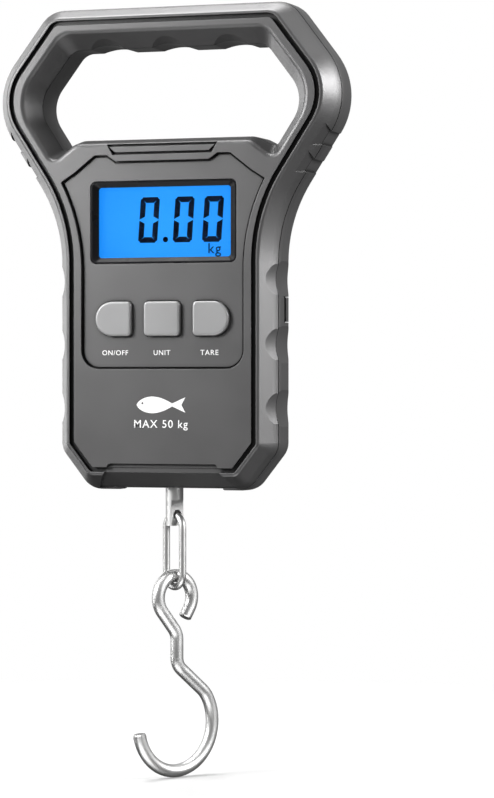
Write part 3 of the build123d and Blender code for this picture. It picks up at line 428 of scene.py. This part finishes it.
# ---- Printed marks
def place_print(name, curve, x, y, z, width, material, body="housing"):
    """Stands a flat curve on a face, scaled to its width, and lets it ride."""
    curve.extrude = INK / 2
    curve.materials.append(material)
    piece = bpy.data.objects.new(name, curve)
    SCENE.collection.objects.link(piece)
    piece.rotation_euler = (math.radians(90), 0, 0)
    bpy.context.view_layer.update()
    factor = width / piece.dimensions.x
    piece.scale = (factor, factor, 1)
    piece.location = (x, y - INK / 2, z)
    bpy.context.view_layer.update()
    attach(piece, body)


def words_curve(name, words):
    """Lettering as a flat curve, centred both ways."""
    curve = bpy.data.curves.new(name, "FONT")
    curve.body = words
    curve.align_x = "CENTER"
    curve.align_y = "CENTER"
    curve.offset = LETTER_BOLDNESS
    curve.space_character = LETTER_SPACING
    curve.resolution_u = LETTER_SMOOTHNESS
    return curve


def fish_curve(name):
    """A plain fish as a flat curve: two bowed flanks, a forked tail and a round eye."""
    flank = []
    for step in range(FISH_STEPS + 1):
        along = step / FISH_STEPS
        bow = math.sin(math.pi * along ** FISH_FULLNESS) ** FISH_FULLNESS
        flank.append((-0.5 + along * FISH_BODY, 0.5 * bow))
    root = (flank[-1][0] + TAIL_ROOT[0], TAIL_ROOT[1])
    under_tail = [(x, -z) for x, z in (TAIL_TIP, root)]
    underside = [(x, -z) for x, z in reversed(flank[1:-1])]
    outline = flank[:-1] + [root, TAIL_TIP, TAIL_FORK] + under_tail + underside
    eye = []
    for step in range(EYE_STEPS):
        angle = 2 * math.pi * step / EYE_STEPS
        x = EYE_CENTRE[0] + EYE_SIZE[0] * math.cos(angle)
        z = EYE_CENTRE[1] + EYE_SIZE[1] * math.sin(angle)
        eye.append((x, z))
    curve = bpy.data.curves.new(name, "CURVE")
    curve.dimensions = "2D"
    curve.fill_mode = "BOTH"
    for points in (outline, eye):
        spline = curve.splines.new("POLY")
        spline.points.add(len(points) - 1)
        for point, (x, z) in zip(spline.points, points):
            point.co = (x * FISH_LENGTH, z * FISH_HEIGHT, 0, 1)
        spline.use_cyclic_u = True
    return curve


for name, words, x, width in LABELS:
    place_print(name, words_curve(name, words), x, PANEL_Y, LABEL_Z, width, INK_MATERIAL)
name, words, x, z, width = CAPACITY
place_print(name, words_curve(name, words), x, FACE_Y, z, width, INK_MATERIAL)
x, z = FISH_CENTRE
place_print("fish_mark", fish_curve("fish_mark"), x, FACE_Y, z, FISH_LENGTH, INK_MATERIAL)
name, words, x, z, width = KILOGRAMS
place_print(name, words_curve(name, words), x, DIGITS_Y, z, width, MATERIALS["digits"])


# ---- Tape strip
def tape_strip():
    """A thin strip, bowed across, from the spool's rim to the tab."""
    low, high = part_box("tape_lead")
    middle_y, middle_z = (low.y + high.y) / 2, (low.z + high.z) / 2
    mesh = bpy.data.meshes.new("tape_strip")
    build = bmesh.new()
    rings = []
    for step in range(TAPE_STEPS + 1):
        x = low.x + (high.x - low.x) * step / TAPE_STEPS
        ring = []
        for side in (1, -1):
            for k in range(TAPE_CROSS_STEPS + 1):
                across = k / TAPE_CROSS_STEPS if side > 0 else 1 - k / TAPE_CROSS_STEPS
                rise = TAPE_BOW * (1 - (2 * across - 1) ** 2)
                y = low.y + (high.y - low.y) * across
                z = middle_z - TAPE_BOW / 2 + rise + side * TAPE_HALF_THICK
                ring.append(build.verts.new((x, y, z)))
        rings.append(ring)
    count = len(rings[0])
    for first, second in zip(rings, rings[1:]):
        for k in range(count):
            build.faces.new((first[k], second[k], second[(k + 1) % count], first[(k + 1) % count]))
    build.faces.new(rings[0])
    build.faces.new(reversed(rings[-1]))
    bmesh.ops.recalc_face_normals(build, faces=build.faces)
    build.to_mesh(mesh)
    build.free()
    mesh.materials.append(MATERIALS["tape_blade"])
    strip = bpy.data.objects.new("tape_strip", mesh)
    SCENE.collection.objects.link(strip)
    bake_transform(strip)
    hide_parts("tape_lead")


tape_strip()


# ---- Floor
def floor_disc():
    """The disc stands just under the hook, and reflects and lights nothing."""
    mesh = bpy.data.meshes.new("floor")
    build = bmesh.new()
    bmesh.ops.create_circle(build, cap_ends=True, radius=FLOOR_RADIUS, segments=FLOOR_SIDES)
    build.to_mesh(mesh)
    build.free()
    floor = bpy.data.objects.new("floor", mesh)
    SCENE.collection.objects.link(floor)
    floor.location = (0, 0, cad_box[0][2] - FLOOR_GAP)
    material, shader = new_material("floor", (FLOOR_TONE, FLOOR_TONE, FLOOR_TONE), 0.7)
    shader.inputs["Emission Color"].default_value = (1, 1, 1, 1)
    shader.inputs["Emission Strength"].default_value = FLOOR_GLOW
    away = node_of(material, "ShaderNodeVectorMath", operation="LENGTH")
    join(material, object_place(material), away.inputs[0])
    fade = spread(material, away.outputs["Value"], 0, 1, span=FLOOR_FADE)
    clear = node_of(material, "ShaderNodeBsdfTransparent")
    surface = mix_shaders(material, fade, shader.outputs[0], clear.outputs[0])
    join(material, surface, material.node_tree.nodes["Material Output"].inputs["Surface"])
    mesh.materials.append(material)
    floor.visible_glossy = False
    floor.visible_diffuse = False


floor_disc()


# ---- Light
def softbox(name, place, aim, size, power):
    """A rectangular area light at a place, turned to its aim and hidden from the camera."""
    light = bpy.data.lights.new(name, "AREA")
    light.shape = "RECTANGLE"
    light.size, light.size_y = size
    light.energy = power
    lamp = bpy.data.objects.new(name, light)
    SCENE.collection.objects.link(lamp)
    lamp.location = place
    lamp.visible_camera = False
    lamp.rotation_euler = (Vector(aim) - Vector(place)).to_track_quat("-Z", "Y").to_euler()


for light_row in LIGHTS:
    softbox(*light_row)


def studio_world():
    """Grey surroundings, brighter in front than behind and below. The backdrop itself is white."""
    world = bpy.data.worlds.new("studio")
    SCENE.world = world
    world.use_nodes = True
    nodes = world.node_tree.nodes
    around = nodes["Background"]
    way = split(world, node_of(world, "ShaderNodeTexCoord").outputs["Generated"])
    level = spread(world, way["Y"], WORLD_FRONT, WORLD_BACK, span=WORLD_FRONT_TO_BACK)
    below = spread(world, way["Z"], WORLD_BELOW, 1.0, span=WORLD_BELOW_TO_LEVEL)
    around.inputs["Color"].default_value = (1, 1, 1, 1)
    join(world, calculate(world, "MULTIPLY", level, below), around.inputs["Strength"])
    backdrop = node_of(world, "ShaderNodeBackground")
    backdrop.inputs["Color"].default_value = (1, 1, 1, 1)
    seen = node_of(world, "ShaderNodeLightPath").outputs["Is Camera Ray"]
    surface = mix_shaders(world, seen, around.outputs[0], backdrop.outputs[0])
    join(world, surface, nodes["World Output"].inputs["Surface"])


studio_world()
SCENE.view_settings.view_transform = "Standard"

camera_data = bpy.data.cameras.new("camera")
camera_data.lens = CAMERA_LENS
camera_data.sensor_width = CAMERA_SENSOR
camera = bpy.data.objects.new("camera", camera_data)
SCENE.collection.objects.link(camera)
camera.location = CAMERA_PLACE
camera.rotation_euler = (math.radians(CAMERA_TILT), 0, math.radians(CAMERA_TURN))
SCENE.camera = camera
